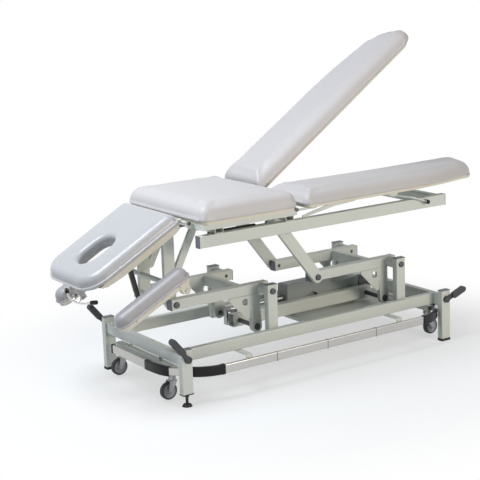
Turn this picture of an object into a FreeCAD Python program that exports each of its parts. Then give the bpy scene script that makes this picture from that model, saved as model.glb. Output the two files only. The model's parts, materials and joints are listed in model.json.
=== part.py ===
import FreeCAD, Part
import math
import os

os.makedirs("parts", exist_ok=True)

# Treatment couch in its photographed pose, in millimetres.
# +X runs to the foot end, -X to the head end, -Y is the near side, +Z is up.
# The origin lies on the floor under the middle of the base.

# Tube stock
wall = 2.5
tube_corner = 4.0
cap_thick = 3.0

# Base frame
base_length = 1428.0
base_width = 664.0
leg_wide = 50.0
leg_thin = 30.0
leg_top = 234.0
foot_cap = 12.0
short_leg_bottom = 53.0
rail_tall = 50.0
rail_thin = 30.0
rail_bottom = 163.0
rail_outer = 266.0
beam_thin = 30.0

# Lift linkage
post_wide = 50.0
post_thin = 30.0
post_top = 397.0
pivot_head_x = -200.0
pivot_foot_x = 506.0
pivot_z = 370.0
arm_length = 420.0
arm_tall = 45.0
arm_thin = 40.0
arm_inner = 114.0
arm_past_base = 32.0
arm_past_top = 20.0
boss_radius = 24.0
pin_radius = 8.0
pin_clearance = 0.05
side_clearance = 0.3
bolt_radius = 13.0
bolt_tall = 8.0
arm_cross_offset = -100.0
arm_cross_wide = 34.0
lever_x = -28.0
lever_z = -166.0
lever_wide = 50.0
lever_thin = 20.0
lower_shaft_radius = 10.0
gusset_thick = 6.0
gusset_reach = 164.0
tie_half = 20.0
tie_tall = 56.0
tie_past = 30.0

# Drive unit
plate_x0 = 40.0
plate_x1 = 560.0
plate_thick = 3.0
drive_y = 58.0
drive_x0 = 61.0
drive_x1 = 310.0
drive_wide = 73.0
drive_bottom = 205.0
drive_top = 300.0
gear_x1 = 472.0
gear_top = 274.0
motor_x1 = 547.0
motor_radius = 34.0
drive_axis_z = 236.0
rod_radius = 14.0
yoke_slot = 14.0

# Upper frame
top_rail_outer = 278.0
top_rail_bottom = 616.0
top_rail_x0 = -572.0
top_rail_x1 = 733.0
cross_tall = 24.0
cross_wide = 40.0
cross_xs = (-480.0, -131.0)
link_wide = 50.0
link_thin = 20.0
brace_wide = 30.0
mid_frame_tall = 20.0
mid_board_thick = 12.0
mid_x0 = -580.0
mid_x1 = -90.0
mid_half = 311.0
mid_thick = 70.0
mid_corner = 45.0
board_inset = 14.0
strip_wide = 30.0

# Leg sections
leg_hinge_x = -106.0
leg_hinge_z = 712.0
leg_start = 47.0
leg_end = 1128.0
leg_inner = 3.0
leg_outer = 303.0
leg_pad_bottom = 8.0
leg_pad_thick = 60.0
leg_board_thick = 12.0
leg_board_inset = 16.0
far_leg_angle = 34.5
hinge_pin_radius = 5.0
knuckle_radius = 9.0
knuckle_ys = (60.0, 276.0)
knuckle_half = 12.0
cheek_thick = 6.0
strut_radius = 11.0
strut_rod_radius = 4.5
strut_length = 230.0
strut_lug = 84.0
strut_y = 120.0
eye_radius = 12.0
eye_thick = 10.0
lug_thick = 5.0
release_x = 566.0
release_y = 250.0
rest_x = 50.0
rest_y = 262.0
rest_thick = 6.0

# Head section
head_hinge_x = -590.0
head_hinge_z = 715.0
head_slope = 28.7
head_start = 11.0
head_length = 483.0
head_half = 210.0
head_tip_half = 205.0
head_pad_thick = 43.0
head_board_thick = 12.0
head_lift = 22.0
head_cheek_y = 222.0
head_knuckle_y = 160.0
head_side_y = 184.0
head_side_thick = 12.0
head_side_bottom = -16.0
head_pin_radius = 5.0
head_strut_top = (-764.0, 610.0)
head_strut_foot = (-708.0, 380.0)
head_strut_body = 186.0
head_strut_rod = 197.0
face_x = 309.0
face_long = 170.0
face_wide = 118.0
pad_bevel = 30.0

# Armrests
armrest_y = 256.0
armrest_wide = 90.0
armrest_length = 372.0
armrest_pad_thick = 46.0
armrest_board_thick = 20.0
armrest_slope = 27.2
armrest_pivot_x = -636.0
armrest_pivot_z = 456.0
armrest_inner_x = -628.0
armrest_inner_z = 536.0
armrest_tube_radius = 11.0
armrest_eye_radius = 16.0

# Castors, carriers and pedals
shaft_x = 687.0
shaft_z = 196.0
shaft_radius = 8.0
guide_y = 120.0
guide_radius = 7.0
guide_top = 178.0
castor_y = 205.0
wheel_radius = 36.0
wheel_wide = 24.0
wheel_lift = 3.0
castor_trail = 20.0
fork_thick = 3.0
fork_gap = 2.0
stem_radius = 6.0
head_tube_radius = 16.0
castor_collar = 12.0
carrier_bottom = 118.0
carrier_tall = 25.0
carrier_wide = 34.0
pedal_thick = 12.0
pedal_wide = 26.0
pedal_head = (112.0, 51.0)
pedal_foot = (98.0, 20.0)
pedal_bead = 8.0
pedal_hub = 15.0

# Foot bar
bar_y = 352.0
bar_end_x = 740.0
bar_thin = 15.0
bar_tall = 37.0
bar_bottom = 112.0
bar_half_long = 529.0
bar_end_near = -97.0
bar_end_far = 178.0
bar_wall = 2.0
bar_bracket_x = 400.0
bar_bracket_wide = 30.0
bar_corner_radius = 40.0

# Places that follow from the sizes above
base_half = base_length / 2
side_half = base_width / 2
leg_centre_x = base_half - leg_wide / 2
leg_inner_y = side_half - leg_thin
rail_inner = rail_outer - rail_thin
beam_centre_x = leg_centre_x
beam_inner = beam_centre_x - beam_thin / 2
post_inner = rail_inner - post_thin
arm_outer = arm_inner + arm_thin
top_rail_top = top_rail_bottom + rail_tall
mid_frame_bottom = top_rail_top + cross_tall
mid_board_bottom = mid_frame_bottom + mid_frame_tall
mid_pad_bottom = mid_board_bottom + mid_board_thick
frame_x0 = mid_x0 + board_inset
frame_x1 = leg_hinge_x - board_inset
lower_z = pivot_z + lever_z
bore_radius = pin_radius + pin_clearance


def at(x, y, z):
    return FreeCAD.Vector(x, y, z)


def block(x0, x1, y0, y1, z0, z1):
    return Part.makeBox(x1 - x0, y1 - y0, z1 - z0, at(x0, y0, z0))


def rod_x(x0, x1, y, z, radius):
    return Part.makeCylinder(radius, x1 - x0, at(x0, y, z), at(1, 0, 0))


def rod_y(x, z, y0, y1, radius):
    return Part.makeCylinder(radius, y1 - y0, at(x, y0, z), at(0, 1, 0))


def rod_z(x, y, z0, z1, radius):
    return Part.makeCylinder(radius, z1 - z0, at(x, y, z0))


def rod_between(start, end, radius):
    return Part.makeCylinder(radius, (end - start).Length, start, end - start)


def fused(solids):
    first = solids[0]
    return first.fuse(solids[1:]).removeSplitter() if len(solids) > 1 else first


def mirrored(shape):
    return shape.mirror(at(0, 0, 0), at(0, 1, 0))


def both_sides(shape):
    return [shape, mirrored(shape)]


def turned(shape, x, z, degrees):
    copy = shape.copy()
    copy.rotate(at(x, 0, z), at(0, 1, 0), degrees)
    return copy


def moved(shape, x, y, z):
    copy = shape.copy()
    copy.translate(at(x, y, z))
    return copy


def rounded_loop(wide, tall, radius):
    """Rounded rectangle about the origin in the XY plane."""
    a, b, r = wide / 2, tall / 2, radius
    k = r * (1 - math.sqrt(0.5))
    corners = [(a, -b, -1, 1), (a, b, -1, -1), (-a, b, 1, -1), (-a, -b, 1, 1)]
    ends, arcs = [], []
    for index, (x, y, sx, sy) in enumerate(corners):
        first, last = at(x + sx * r, y, 0), at(x, y + sy * r, 0)
        if index % 2:
            first, last = last, first
        arcs.append(Part.Arc(first, at(x + sx * k, y + sy * k, 0), last).toShape())
        ends.append((first, last))
    edges = []
    for index, arc in enumerate(arcs):
        edges.append(arc)
        edges.append(Part.makeLine(ends[index][1], ends[(index + 1) % 4][0]))
    return Part.Wire(edges)


def prism(loops, length):
    """Straight prism along +Z from one outer loop and any inner loops."""
    faces = [Part.Face(loop) for loop in loops]
    face = faces[0]
    for hole in faces[1:]:
        face = face.cut(hole)
    return face.extrude(at(0, 0, length))


def tube(start, end, wide, tall, skin=wall, up=None):
    """Hollow rectangular tube from start to end; wide lies level, tall lies along up."""
    along = end - start
    up = up or at(0, 0, 1)
    side = up.cross(along).normalize()
    top = along.cross(side).normalize()
    run = FreeCAD.Vector(along).normalize()
    loops = [rounded_loop(wide, tall, tube_corner)]
    if skin:
        inner_corner = max(tube_corner - skin, 0.8)
        loops.append(rounded_loop(wide - 2 * skin, tall - 2 * skin, inner_corner))
    solid = prism(loops, along.Length)
    matrix = FreeCAD.Matrix(side.x, top.x, run.x, start.x, side.y, top.y, run.y, start.y,
                            side.z, top.z, run.z, start.z, 0, 0, 0, 1)
    solid.Placement = FreeCAD.Placement(matrix)
    return solid


def link(points, wide, y0, y1, hole=bore_radius, hollow=True):
    """Flat link in the XZ plane with round ends and a bore at each end."""
    (x0, z0), (x1, z1) = points
    run = at(x1 - x0, 0, z1 - z0)
    side = at(-run.z, 0, run.x).normalize() * (wide / 2)
    tip = FreeCAD.Vector(run).normalize() * (wide / 2)
    a, b = at(x0, y0, z0), at(x1, y0, z1)
    loop = Part.Wire([Part.makeLine(a + side, b + side),
                      Part.Arc(b + side, b + tip, b - side).toShape(),
                      Part.makeLine(b - side, a - side),
                      Part.Arc(a - side, a - tip, a + side).toShape()])
    solid = Part.Face(loop).extrude(at(0, y1 - y0, 0))
    if hollow:
        cut = FreeCAD.Vector(run).normalize() * (wide / 2 + wall)
        inner = side * ((wide / 2 - wall) / (wide / 2))
        c, d = a + cut, b - cut
        core = Part.makePolygon([c + inner, d + inner, d - inner, c - inner, c + inner])
        core = Part.Face(core).extrude(at(0, y1 - y0 - 2 * wall, 0))
        solid = solid.cut(moved(core, 0, wall, 0))
    if hole:
        for x, z in points:
            solid = solid.cut(rod_y(x, z, y0 - 1, y1 + 1, hole))
    return solid


def plate_xz(points, y0, y1):
    loop = Part.makePolygon([at(x, y0, z) for x, z in points] + [at(points[0][0], y0, points[0][1])])
    return Part.Face(loop).extrude(at(0, y1 - y0, 0))


def bolt(x, z, y0, y1, radius, head_at_end=True):
    """Pivot bolt along Y whose domed head starts at y1."""
    shank = rod_y(x, z, y0, y1, radius)
    head = rod_y(x, z, y1, y1 + bolt_tall, bolt_radius)
    rim = [edge for edge in head.Edges if abs(edge.BoundBox.YMin - y1 - bolt_tall) < 0.01
           and edge.BoundBox.YLength < 0.01]
    return fused([shank, head.makeFillet(bolt_tall * 0.35, rim[:1])])


def softened(solid, radius, keep):
    edges = [edge for edge in solid.Edges if keep(edge)]
    return solid.makeFillet(radius, edges)


def write(name, solids):
    shape = solids[0] if len(solids) == 1 else Part.makeCompound(solids)
    if shape.ShapeType != "Compound" and len(shape.Solids) == 1:
        shape = shape.Solids[0]
    shape.exportStep("parts/" + name + ".step")


# Base frame

def base_legs():
    legs = []
    for sx in (-1, 1):
        for sy in (-1, 1):
            short = sx < 0 and sy < 0
            bottom = short_leg_bottom if short else foot_cap
            x, y = sx * leg_centre_x, sy * (side_half - leg_thin / 2)
            leg = tube(at(x, y, bottom), at(x, y, leg_top), leg_thin, leg_wide, up=at(1, 0, 0))
            bore = rod_y(sx * shaft_x, shaft_z, y - leg_thin, y + leg_thin, shaft_radius + pin_clearance)
            legs.append(leg.cut(bore))
    write("base_legs", legs)


def base_beams():
    z = rail_bottom + rail_tall / 2
    beams = []
    for sx in (-1, 1):
        x = sx * beam_centre_x
        beam = tube(at(x, -leg_inner_y, z), at(x, leg_inner_y, z), beam_thin, rail_tall)
        for y in (-guide_y, guide_y):
            beam = beam.cut(rod_z(sx * shaft_x, y, rail_bottom - 1, rail_bottom + rail_tall / 2,
                                  guide_radius + pin_clearance))
        beams.append(beam)
    write("base_beams", beams)


def base_rails():
    z = rail_bottom + rail_tall / 2
    for name, sy in (("near", -1), ("far", 1)):
        y = sy * (rail_outer - rail_thin / 2)
        rail = tube(at(-beam_inner, y, z), at(beam_inner, y, z), rail_thin, rail_tall)
        write("base_rail_" + name, [rail])


def base_posts():
    posts, bolts = [], []
    y = rail_inner - post_thin / 2
    for x in (pivot_head_x, pivot_foot_x):
        post = tube(at(x, y, rail_bottom), at(x, y, post_top), post_thin, post_wide, up=at(1, 0, 0))
        post = post.cut(rod_y(x, pivot_z, post_inner - 1, rail_inner + 1, bore_radius))
        posts += both_sides(post)
        bolts += both_sides(bolt(x, pivot_z, arm_inner, rail_inner, pin_radius))
    write("base_posts", posts)
    write("base_bolts", bolts)


def end_cap(x, y, z0, z1, wide_x, wide_y):
    cap = Part.makeBox(wide_x, wide_y, z1 - z0, at(x - wide_x / 2, y - wide_y / 2, z0))
    return softened(cap, 2.0, lambda e: abs(e.BoundBox.ZMin - z1) < 0.01)


def base_caps():
    caps = []
    y = side_half - leg_thin / 2
    for sx in (-1, 1):
        caps += both_sides(end_cap(sx * leg_centre_x, y, leg_top, leg_top + cap_thick, leg_wide, leg_thin))
    post_y = rail_inner - post_thin / 2
    for x in (pivot_head_x, pivot_foot_x):
        caps += both_sides(end_cap(x, post_y, post_top, post_top + cap_thick, post_wide, post_thin))
    write("base_caps", caps)


def base_feet():
    y = side_half - leg_thin / 2
    feet = [block(leg_centre_x - leg_wide / 2, leg_centre_x + leg_wide / 2, sy * y - leg_thin / 2,
                  sy * y + leg_thin / 2, 0, foot_cap) for sy in (-1, 1)]
    feet.append(block(-leg_centre_x - leg_wide / 2, -leg_centre_x + leg_wide / 2, y - leg_thin / 2,
                      y + leg_thin / 2, 0, foot_cap))
    disc = Part.makeCone(21.0, 16.0, 9.0, at(-leg_centre_x, -y, 0))
    stem = rod_z(-leg_centre_x, -y, 9.0, short_leg_bottom - 5.0, 6.0)
    nut = prism([Part.makePolygon([at(11 * math.cos(math.radians(a)), 11 * math.sin(math.radians(a)), 0)
                                   for a in range(0, 361, 60)])], 7.0)
    plug = block(-base_half, -base_half + leg_wide, -side_half, -leg_inner_y,
                 short_leg_bottom - 5.0, short_leg_bottom)
    nut = moved(nut, -leg_centre_x, -y, short_leg_bottom - 12.0)
    feet.append(fused([disc, stem, nut, plug]))
    write("base_feet", feet)


def base_plate():
    half = rail_outer - rail_thin / 2
    plate = block(plate_x0, plate_x1, -half, half, rail_bottom - plate_thick, rail_bottom)
    lip = block(plate_x0, plate_x0 + plate_thick, -rail_inner, rail_inner, rail_bottom, rail_bottom + 8.0)
    far_lip = moved(lip, plate_x1 - plate_x0 - plate_thick, 0, 0)
    write("base_plates", [fused([plate, lip, far_lip])] + bar_brackets())


# Drive unit

def drive_unit():
    y0, y1 = drive_y - drive_wide / 2, drive_y + drive_wide / 2
    cover = block(drive_x0, drive_x1, y0, y1, drive_bottom, drive_top)
    cover = softened(cover, 8.0, lambda e: abs(e.BoundBox.ZMin - drive_top) < 0.01)
    slot = rod_y((drive_x0 + drive_x1) / 2 + 14.0, drive_bottom, y0 - 1, y0 + 18.0, 42.0)
    cover = cover.cut(slot)
    gear = block(drive_x1, gear_x1, y0 + 6.0, y1 - 6.0, drive_bottom - 4.0, gear_top)
    gear = softened(gear, 6.0, lambda e: e.BoundBox.XLength > 100 and abs(e.BoundBox.ZMin - gear_top) < 0.01)
    bore = rod_x(drive_x0 - 1, gear_x1 - 13.0, drive_y, drive_axis_z, rod_radius + side_clearance)
    body = fused([cover, gear]).cut(bore)
    stand = block(drive_x0 + 20.0, drive_x0 + 45.0, y0 + 6.0, y1 - 6.0, rail_bottom, drive_bottom)
    second = block(gear_x1 - 45.0, gear_x1 - 20.0, y0 + 6.0, y1 - 6.0, rail_bottom, drive_bottom - 4.0)
    write("drive_housing", [fused([body, stand, second])])
    motor = rod_x(gear_x1, motor_x1, drive_y, drive_axis_z, motor_radius)
    rib = rod_x(gear_x1, gear_x1 + 6.0, drive_y, drive_axis_z, motor_radius + 3.0)
    end = at(motor_x1, drive_y, drive_axis_z)
    dome = Part.makeCone(motor_radius, motor_radius - 9.0, 9.0, end, at(1, 0, 0))
    write("drive_motor", [fused([rib, motor, dome])])


def drive_rod():
    lower_x = pivot_head_x + lever_x
    rod = rod_x(lower_x, drive_x0 + 120.0, drive_y, drive_axis_z, rod_radius)
    half = lower_shaft_radius + yoke_slot
    yoke = block(lower_x - 22.0, lower_x + 34.0, drive_y - 12.0, drive_y + 12.0, lower_z - half - 10.0,
                 drive_axis_z + rod_radius + 4.0)
    slot = block(lower_x - lower_shaft_radius - 2.5, lower_x + lower_shaft_radius + 2.5, drive_y - 20.0,
                 drive_y + 20.0, lower_z - half + 3.0, lower_z + half)
    write("drive_rod", [fused([rod, yoke]).cut(slot)])


# Lift linkage

def lift_arms(name, pivot_x, outboard_link):
    top_x = pivot_x - arm_length
    y = arm_inner + arm_thin / 2
    x0, x1 = top_x - arm_past_top, pivot_x + arm_past_base
    arm = tube(at(x0, y, pivot_z), at(x1, y, pivot_z), arm_thin, arm_tall)
    boss = rod_y(pivot_x, pivot_z, arm_outer, post_inner - side_clearance, boss_radius)
    sleeve = rod_y(pivot_x, pivot_z, arm_inner, arm_outer, pin_radius + 5.0)
    arm = fused([arm, boss, sleeve]).cut(rod_y(pivot_x, pivot_z, arm_inner - 1, post_inner, bore_radius))
    arm = arm.cut(rod_y(top_x, pivot_z, arm_inner - 1, arm_outer + 1, bore_radius))
    write(name + "_tubes", both_sides(arm))
    cross_x = pivot_x + arm_cross_offset
    cross = tube(at(cross_x, -arm_inner, pivot_z), at(cross_x, arm_inner, pivot_z), arm_cross_wide, arm_tall)
    levers = both_sides(lever(pivot_x)) + [cross]
    write(name + "_levers", levers)
    write(name + "_pins", arm_pins(pivot_x, top_x, outboard_link))
    caps = []
    for x in (x0 - cap_thick, x1):
        cap = Part.makeBox(cap_thick, arm_thin, arm_tall, at(x, arm_inner, pivot_z - arm_tall / 2))
        caps += both_sides(cap)
    write(name + "_caps", caps)


def lever(pivot_x):
    """Bell-crank lever under one arm with its triangular gusset plate."""
    y0, y1 = arm_outer - lever_thin, arm_outer
    under = pivot_z - arm_tall / 2
    low_x = pivot_x + lever_x
    upright = link(((pivot_x + lever_x - 8.0, under - lever_wide / 2 - 12.0), (low_x, lower_z)), lever_wide,
                   y0, y1, hole=0)
    neck = block(pivot_x - 65.0, pivot_x - 10.0, y0, y1, under - 60.0, under)
    upright = fused([upright, neck])
    back, front = pivot_x - 60.0, pivot_x - gusset_reach
    outline = [(front, under), (back, under), (back, under - 100.0), (back - 16.0, under - 102.0),
               (front, under - 10.0)]
    gusset = plate_xz(outline, y1 - gusset_thick, y1)
    window = rod_y(pivot_x - 84.0, under - 26.0, y1 - gusset_thick - 1, y1 + 1, 15.0)
    window = window.common(block(pivot_x - 84.0 - 20.0, pivot_x - 72.0, 0, 300.0, 0, 600.0))
    plate = gusset.cut(window)
    whole = fused([upright, plate])
    return whole.cut(rod_y(low_x, lower_z, y0 - 1, y1 + 1, lower_shaft_radius))


def arm_pins(pivot_x, top_x, outboard_link):
    """Top pivot bolts and the lower cross shaft of one arm unit."""
    pins = []
    if outboard_link:
        outer = arm_outer + side_clearance + link_thin
        pins += both_sides(bolt(top_x, pivot_z, arm_inner, outer + side_clearance, pin_radius))
    else:
        inner = arm_inner - side_clearance - link_thin
        pins += both_sides(bolt(top_x, pivot_z, inner, arm_outer, pin_radius))
    low_x = pivot_x + lever_x
    collar = lower_shaft_radius + 4.0
    near_end = rod_y(low_x, lower_z, -arm_outer - 4.0, -arm_outer, collar)
    far_end = rod_y(low_x, lower_z, arm_outer, arm_outer + 4.0, collar)
    if outboard_link:
        shaft = rod_y(low_x, lower_z, -arm_outer, tie_half, lower_shaft_radius)
        stub = rod_y(low_x, lower_z, arm_outer - lever_thin, arm_outer, lower_shaft_radius)
        return pins + [fused([shaft, near_end]), fused([stub, far_end])]
    shaft = rod_y(low_x, lower_z, -arm_outer, arm_outer, lower_shaft_radius)
    return pins + [fused([shaft, near_end, far_end])]


def tie_beam():
    x0 = pivot_head_x + lever_x - tie_past
    x1 = pivot_foot_x + lever_x + tie_past
    beam = tube(at(x0, 0, lower_z), at(x1, 0, lower_z), 2 * tie_half, tie_tall)
    for x in (pivot_head_x + lever_x, pivot_foot_x + lever_x):
        bush = rod_y(x, lower_z, -tie_half, tie_half, lower_shaft_radius + 5.0)
        beam = fused([beam, bush])
    for x, extra in ((pivot_head_x + lever_x, side_clearance), (pivot_foot_x + lever_x, pin_clearance)):
        beam = beam.cut(rod_y(x, lower_z, -tie_half - 1, tie_half + 1, lower_shaft_radius + extra))
    write("tie_beam", [beam])


# Upper frame

def top_rails():
    z = top_rail_bottom + rail_tall / 2
    for name, sy in (("near", -1), ("far", 1)):
        y = sy * (top_rail_outer - rail_thin / 2)
        write("top_rail_" + name, [tube(at(top_rail_x0, y, z), at(top_rail_x1, y, z), rail_thin, rail_tall)])


def top_caps():
    caps = []
    inner = top_rail_outer - rail_thin
    for x in (top_rail_x0 - cap_thick, top_rail_x1):
        caps += both_sides(Part.makeBox(cap_thick, rail_thin, rail_tall, at(x, inner, top_rail_bottom)))
    write("top_caps", caps)


def top_links():
    """Drop bars and braces at the head end, and diagonal bars at the foot pivots."""
    head_top_x = pivot_head_x - arm_length
    foot_top_x = pivot_foot_x - arm_length
    inner = arm_inner - side_clearance - link_thin
    drop = link(((head_top_x, pivot_z), (head_top_x, mid_frame_bottom - link_wide / 2)), link_wide,
                inner, inner + link_thin, hole=0)
    drop = drop.cut(rod_y(head_top_x, pivot_z, 0, arm_inner, bore_radius + side_clearance))
    tube_bore = armrest_tube_radius + pin_clearance
    drop = drop.cut(rod_y(armrest_pivot_x, armrest_pivot_z, 0, arm_inner, tube_bore))
    brace = link(((head_top_x + link_wide / 2 + 8.0, 490.0), (cross_xs[0] - 22.0, mid_frame_bottom - 40.0)),
                 brace_wide, inner + 2.0, inner + link_thin - 2.0, hole=0)
    brace = brace.cut(block(head_top_x - 60.0, head_top_x + link_wide / 2, 0, 200.0, 400.0, 700.0))
    outer = arm_outer + side_clearance
    slanted = link(((foot_top_x, pivot_z), (cross_xs[1] + 8.0, top_rail_top - link_wide / 2)), link_wide,
                   outer, outer + link_thin, hole=0)
    slanted = slanted.cut(rod_y(foot_top_x, pivot_z, 0, outer + link_thin + 1, bore_radius))
    write("top_links", both_sides(drop) + both_sides(brace) + both_sides(slanted))


def top_cross_tubes():
    z = top_rail_top + cross_tall / 2
    outer = top_rail_outer
    tubes = [tube(at(x, -outer, z), at(x, outer, z), cross_wide, cross_tall) for x in cross_xs]
    x = top_rail_x1 - 40.0
    inner = top_rail_outer - rail_thin
    z = top_rail_bottom + rail_tall / 2
    tubes.append(tube(at(x, -inner, z), at(x, inner, z), cross_wide, rail_tall))
    write("top_cross_tubes", tubes + armrest_tube())


def armrest_tube():
    """Round tube through the drop bars with a spigot for each armrest, and the foot of the head strut."""
    y = armrest_y - 14.0 - side_clearance
    tube_y = rod_y(armrest_pivot_x, armrest_pivot_z, -y, y, armrest_tube_radius)
    spigot = rod_y(armrest_pivot_x, armrest_pivot_z, -armrest_y - 18.0, armrest_y + 18.0, pin_radius)
    head_x = pivot_head_x - arm_length
    low = arm_inner - side_clearance - link_thin
    x, z = head_strut_foot
    cross = tube(at(head_x - 40.0, -low, z), at(head_x - 40.0, low, z), 30.0, 30.0)
    gap = eye_thick / 2 + side_clearance
    parts = [tube_y, spigot]
    foot = [cross, rod_y(x, z, -gap - lug_thick, gap + lug_thick, hinge_pin_radius)]
    for y0 in (-gap - lug_thick, gap):
        foot.append(plate_xz([(head_x - 55.0, z - 13.0), (x - 3.0, z - 9.0), (x - 9.0, z), (x - 3.0, z + 9.0),
                              (head_x - 55.0, z + 13.0)], y0, y0 + lug_thick))
    return [fused(parts), fused(foot)]


def mid_frame():
    """Folded strip frame under the middle board, with the hinge lugs at both ends."""
    y = mid_half - board_inset
    z0, z1 = mid_frame_bottom, mid_board_bottom
    ring = block(frame_x0, frame_x1, -y, y, z0, z1).cut(
        block(frame_x0 + strip_wide, frame_x1 - strip_wide, -y + strip_wide, y - strip_wide, z0 - 1, z1 + 1))
    solids = [ring]
    for x in cross_xs:
        half = cross_wide / 2
        if x + half > frame_x1 - strip_wide:
            continue
        solids.append(block(x - half, x + half, -y + strip_wide, y - strip_wide, z0, z1))
    write("mid_frame", [fused(solids + leg_hinge_lugs() + head_hinge_cheeks())])


def leg_hinge_lugs():
    """Lugs and pins that carry the leg sections."""
    solids = []
    for sy in (-1, 1):
        for y in knuckle_ys:
            middle = sy * y
            reach = knuckle_half + side_clearance + cheek_thick
            solids.append(rod_y(leg_hinge_x, leg_hinge_z, middle - reach, middle + reach, hinge_pin_radius))
            for y0 in (middle - reach, middle + reach - cheek_thick):
                y1 = y0 + cheek_thick
                lug = block(frame_x1 - 4.0, leg_hinge_x, y0, y1, mid_frame_bottom, mid_board_bottom)
                eye = rod_y(leg_hinge_x, leg_hinge_z, y0, y1, knuckle_radius)
                solids += [lug, eye]
    return solids


def head_hinge_cheeks():
    """Curved side plates and the hinge rod that carry the head section."""
    y = head_cheek_y
    low = mid_frame_bottom - 12.0
    x0, x1 = head_hinge_x - 12.0, cross_xs[0] - cross_wide / 2 - 2.0
    loop = Part.Wire([Part.makeLine(at(x0, y, head_hinge_z + 10.0), at(frame_x0, y, mid_board_bottom)),
                      Part.makeLine(at(frame_x0, y, mid_board_bottom), at(x1, y, mid_board_bottom)),
                      Part.makeLine(at(x1, y, mid_board_bottom), at(x1, y, mid_frame_bottom)),
                      Part.Arc(at(x1, y, mid_frame_bottom), at((x0 + x1) / 2, y, low + 2.0),
                               at(x0, y, head_hinge_z - 14.0)).toShape(),
                      Part.makeLine(at(x0, y, head_hinge_z - 14.0), at(x0, y, head_hinge_z + 10.0))])
    cheek = Part.Face(loop).extrude(at(0, cheek_thick, 0))
    rod = rod_y(head_hinge_x, head_hinge_z, -y, y, head_pin_radius)
    return both_sides(cheek) + [rod]


def mid_section():
    y = mid_half - board_inset
    board = block(frame_x0, frame_x1, -y, y, mid_board_bottom, mid_pad_bottom)
    board = softened(board, 30.0, lambda e: e.BoundBox.ZLength > mid_board_thick - 0.1 and
                     e.BoundBox.XMin < mid_x0 + 100.0)
    write("mid_board", [board])
    pad = block(mid_x0, mid_x1, -mid_half, mid_half, mid_pad_bottom, mid_pad_bottom + mid_thick)
    top = mid_pad_bottom + mid_thick
    pad = softened(pad, mid_corner, lambda e: e.BoundBox.ZLength > mid_thick - 0.1)
    pad = softened(pad, pad_bevel, lambda e: e.BoundBox.ZMin > top - 0.1)
    write("mid_cushion", [pad])


# Leg sections, drawn flat with the hinge at the origin

def leg_plan(inset, z):
    """Plan outline of one leg section, outer edge on +Y."""
    i = inset
    end = leg_end - i
    inner, outer = leg_inner + i, leg_outer - i
    start = leg_start + i
    nose = [at(end - 75.0, inner, z), at(end - 18.0, inner + 26.0, z), at(end, inner + 88.0, z)]
    tip = [nose[2], at(end - 36.0, inner + 172.0, z), at(end - 130.0, outer - 62.0, z)]
    flank = [tip[2], at(end - 290.0, outer - 27.0, z), at(end - 500.0, outer - 8.0, z)]
    corner = 24.0
    edges = [Part.makeLine(at(start, inner, z), nose[0])]
    edges += [Part.Arc(*points).toShape() for points in (nose, tip, flank)]
    edges.append(Part.makeLine(flank[2], at(start + corner, outer, z)))
    k = corner * (1 - math.sqrt(0.5))
    edges.append(Part.Arc(at(start + corner, outer, z), at(start + k, outer - k, z),
                          at(start, outer - corner, z)).toShape())
    edges.append(Part.makeLine(at(start, outer - corner, z), at(start, inner, z)))
    return Part.Wire(edges)


def leg_pieces():
    """Cushion and framed board of the far leg section, flat, hinge at the origin."""
    top = leg_pad_bottom + leg_pad_thick
    pad = Part.Face(leg_plan(0.0, leg_pad_bottom)).extrude(at(0, 0, leg_pad_thick))
    pad = softened(pad, pad_bevel, lambda e: e.BoundBox.ZMin > top - 0.1)
    low = leg_pad_bottom - leg_board_thick
    board = Part.Face(leg_plan(leg_board_inset, low)).extrude(at(0, 0, leg_board_thick))
    parts = [board] + strut_lugs(low) + leg_lever(low) + leg_rest(low)
    for y in knuckle_ys:
        arm = block(0, leg_start + 60.0, y - knuckle_half, y + knuckle_half, 1.0 - knuckle_radius, low)
        parts += [arm, rod_y(0, 0, y - knuckle_half, y + knuckle_half, knuckle_radius)]
    bore = rod_y(0, 0, -1, mid_half, hinge_pin_radius + pin_clearance)
    return pad, fused(parts).cut(bore)


def strut_lugs(low):
    """Pair of plates under the board, either side of the gas spring's eye."""
    eye_x, eye_z = strut_eye(0)
    lugs = []
    gap = eye_thick / 2 + side_clearance
    for y0 in (strut_y - gap - lug_thick, strut_y + gap):
        outline = [(leg_start + 23.0, low), (leg_start + 77.0, low), (eye_x + 7.0, eye_z - 10.0),
                   (eye_x - 9.0, eye_z - 6.0), (eye_x - 11.0, eye_z + 9.0), (leg_start - 19.0, eye_z + 36.0)]
        plate = plate_xz(outline, y0, y0 + lug_thick)
        lugs.append(plate)
    return lugs


def strut_eye(degrees):
    """Place of the gas spring's eye from the hinge when the leg section is raised."""
    angle = math.radians(degrees - far_leg_angle / 2)
    return strut_lug * math.sin(angle), -strut_lug * math.cos(angle)


def leg_lever(low):
    """Release lever under a leg section: bracket, rod and grip."""
    x, y = release_x, release_y
    outline = [(x - 50.0, low), (x + 24.0, low), (x + 8.0, low - 20.0), (x - 8.0, low - 22.0)]
    bracket = plate_xz(outline, y - 4.0, y + 4.0)
    start, bend = at(x, y, low - 16.0), at(x + 76.0, y + 42.0, low - 32.0)
    knob = at(x + 148.0, y + 45.0, low - 58.0)
    run = (knob - bend).normalize()
    rod = rod_between(start, bend + (bend - start).normalize(), 4.0)
    handle = rod_between(bend - run, knob, 4.0)
    grip = rod_between(knob - run * 12.0, knob + run * 14.0, 9.0)
    return [fused([bracket, rod, handle, grip])]


def leg_rest(low):
    """Flat bar under the outer edge that lies along the side rail when the leg section is down."""
    x, y = rest_x, rest_y
    depth = leg_hinge_z - top_rail_top - 1.5
    outline = [(x, -depth), (x + 12.0, -depth), (x + 170.0, -depth + 26.0), (x + 280.0, low - 8.0),
               (x + 290.0, low), (x + 160.0, low), (x + 4.0, -depth + 9.0)]
    return [plate_xz(outline, y - rest_thick / 2, y + rest_thick / 2)]


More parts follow.
